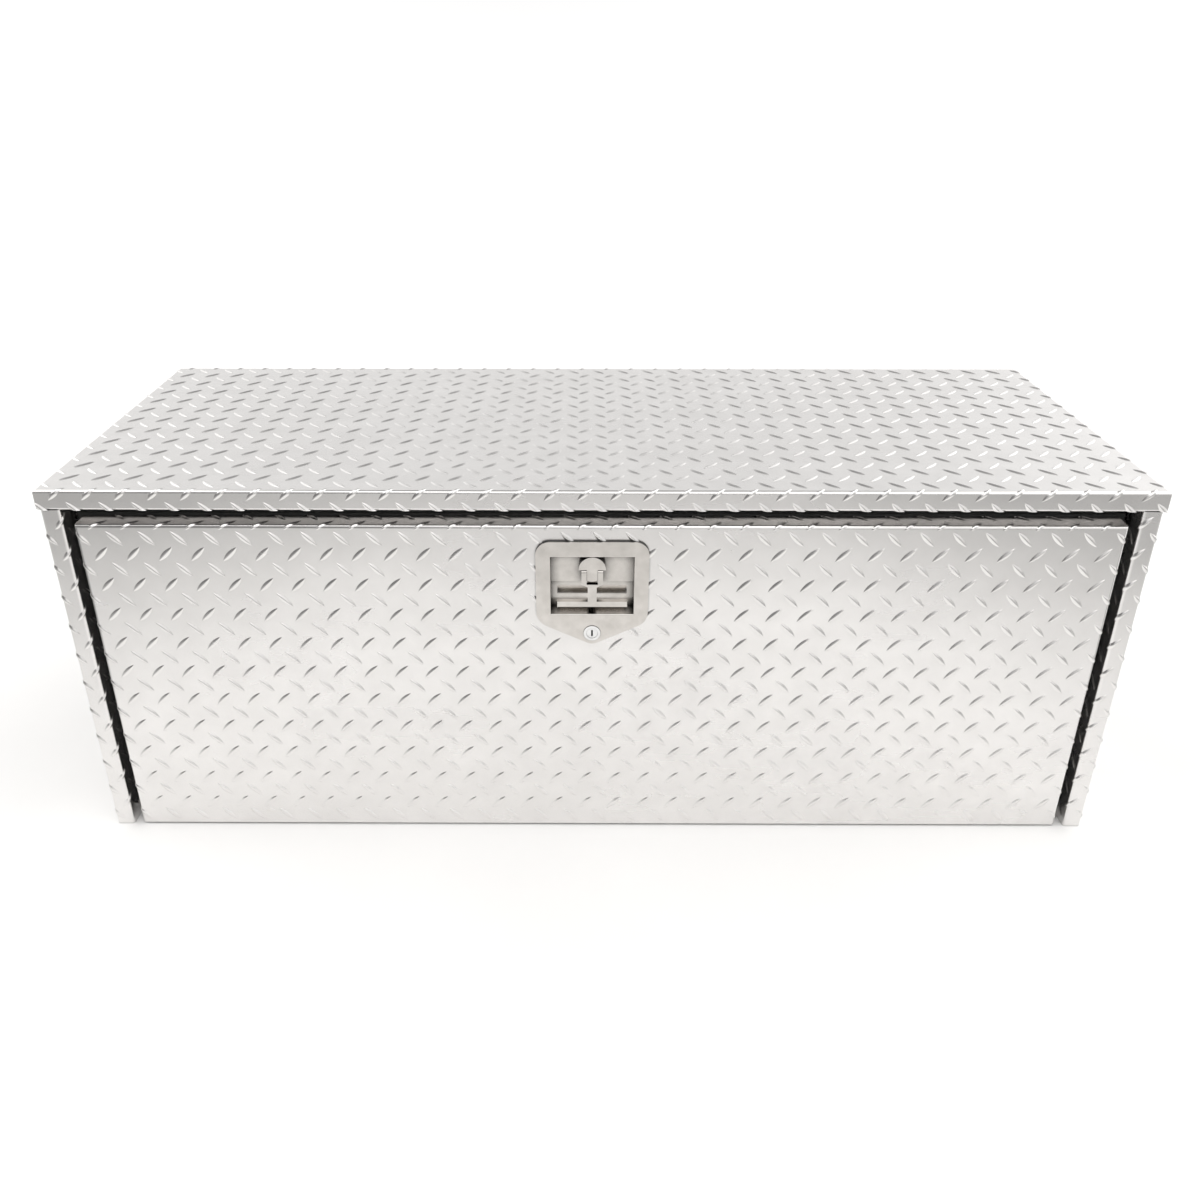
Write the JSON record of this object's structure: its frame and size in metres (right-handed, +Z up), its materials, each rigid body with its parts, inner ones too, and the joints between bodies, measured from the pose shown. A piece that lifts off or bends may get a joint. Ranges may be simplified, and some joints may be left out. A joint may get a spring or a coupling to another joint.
{
  "type": "truck tool box",
  "caption": "Long aluminium tread plate truck box with a bottom-hinged drop-down door and a flush folding T-handle latch with a lock.",
  "frame": {"origin": "middle of the underside, where the box stands", "axes": "+X along the length, -Y towards the door, +Z up"},
  "size_m": [1.2192, 0.4606, 0.4572],
  "materials": {
    "tread_plate": "bright tread plate with raised lozenges in two crossing directions",
    "plain_aluminium": "plain mill sheet",
    "seal_rubber": "black closed-cell rubber",
    "stainless_steel": "polished stainless sheet and bar",
    "rivet_aluminium": "set rivet heads",
    "zinc_steel": "bright zinc plate",
    "bronze": "sintered bearing bronze",
    "lock_chrome": "satin chrome plate"
  },
  "bodies": {
    "box": {"top_cover": "tread_plate", "door_top_stop": "tread_plate", "left_side_panel": "tread_plate", "right_side_panel": "tread_plate", "back_panel": "tread_plate", "floor_panel": "tread_plate", "door_seal": "seal_rubber", "strike_plate": "plain_aluminium", "hinge_rail": "plain_aluminium", "hinge_body_leaf": "plain_aluminium", "hinge_pin": "stainless_steel", "hinge_body_rivets": "rivet_aluminium", "left_body_stay_tab": "plain_aluminium", "right_body_stay_tab": "plain_aluminium"},
    "door": {"door_skin": "tread_plate", "left_door_stiffener": "plain_aluminium", "right_door_stiffener": "plain_aluminium", "left_door_stay_tab": "plain_aluminium", "right_door_stay_tab": "plain_aluminium", "hinge_door_leaf": "plain_aluminium", "latch_pan": "stainless_steel", "latch_gasket": "seal_rubber", "latch_studs": "zinc_steel", "latch_nuts": "zinc_steel", "spindle_bushing": "bronze", "lock_barrel": "lock_chrome", "lock_nut": "zinc_steel"},
    "spindle": {"latch_spindle": "stainless_steel", "handle_pivot_pin": "stainless_steel", "lock_dog": "zinc_steel", "latch_cam": "zinc_steel", "spindle_spacer": "zinc_steel", "cam_washer": "zinc_steel", "cam_nut": "zinc_steel"},
    "handle": {"t_handle": "stainless_steel"},
    "key_plug": {"lock_plug": "lock_chrome", "lock_tongue": "zinc_steel", "tongue_screw": "zinc_steel"}
  },
  "joints": [
    {"name": "door_hinge", "type": "hinge", "parent": "box", "child": "door", "pos_m": [0, -0.2225, 0.0098], "axis": [1, 0, 0], "range_deg": [0, 90]},
    {"name": "latch_turn", "type": "hinge", "parent": "door", "child": "spindle", "pos_m": [-0.0085, -0.2, 0.3632], "axis": [0, -1, 0], "range_deg": [0, 90]},
    {"name": "handle_fold", "type": "hinge", "parent": "spindle", "child": "handle", "pos_m": [-0.0085, -0.228, 0.3592], "axis": [-1, 0, 0], "range_deg": [0, 90]},
    {"name": "lock_turn", "type": "hinge", "parent": "door", "child": "key_plug", "pos_m": [-0.0085, -0.22, 0.2829], "axis": [0, -1, 0], "range_deg": [0, 75]}
  ],
  "couplings": [
    {"joint": "handle_fold", "follows": "latch_turn", "ratio": 1}
  ]
}
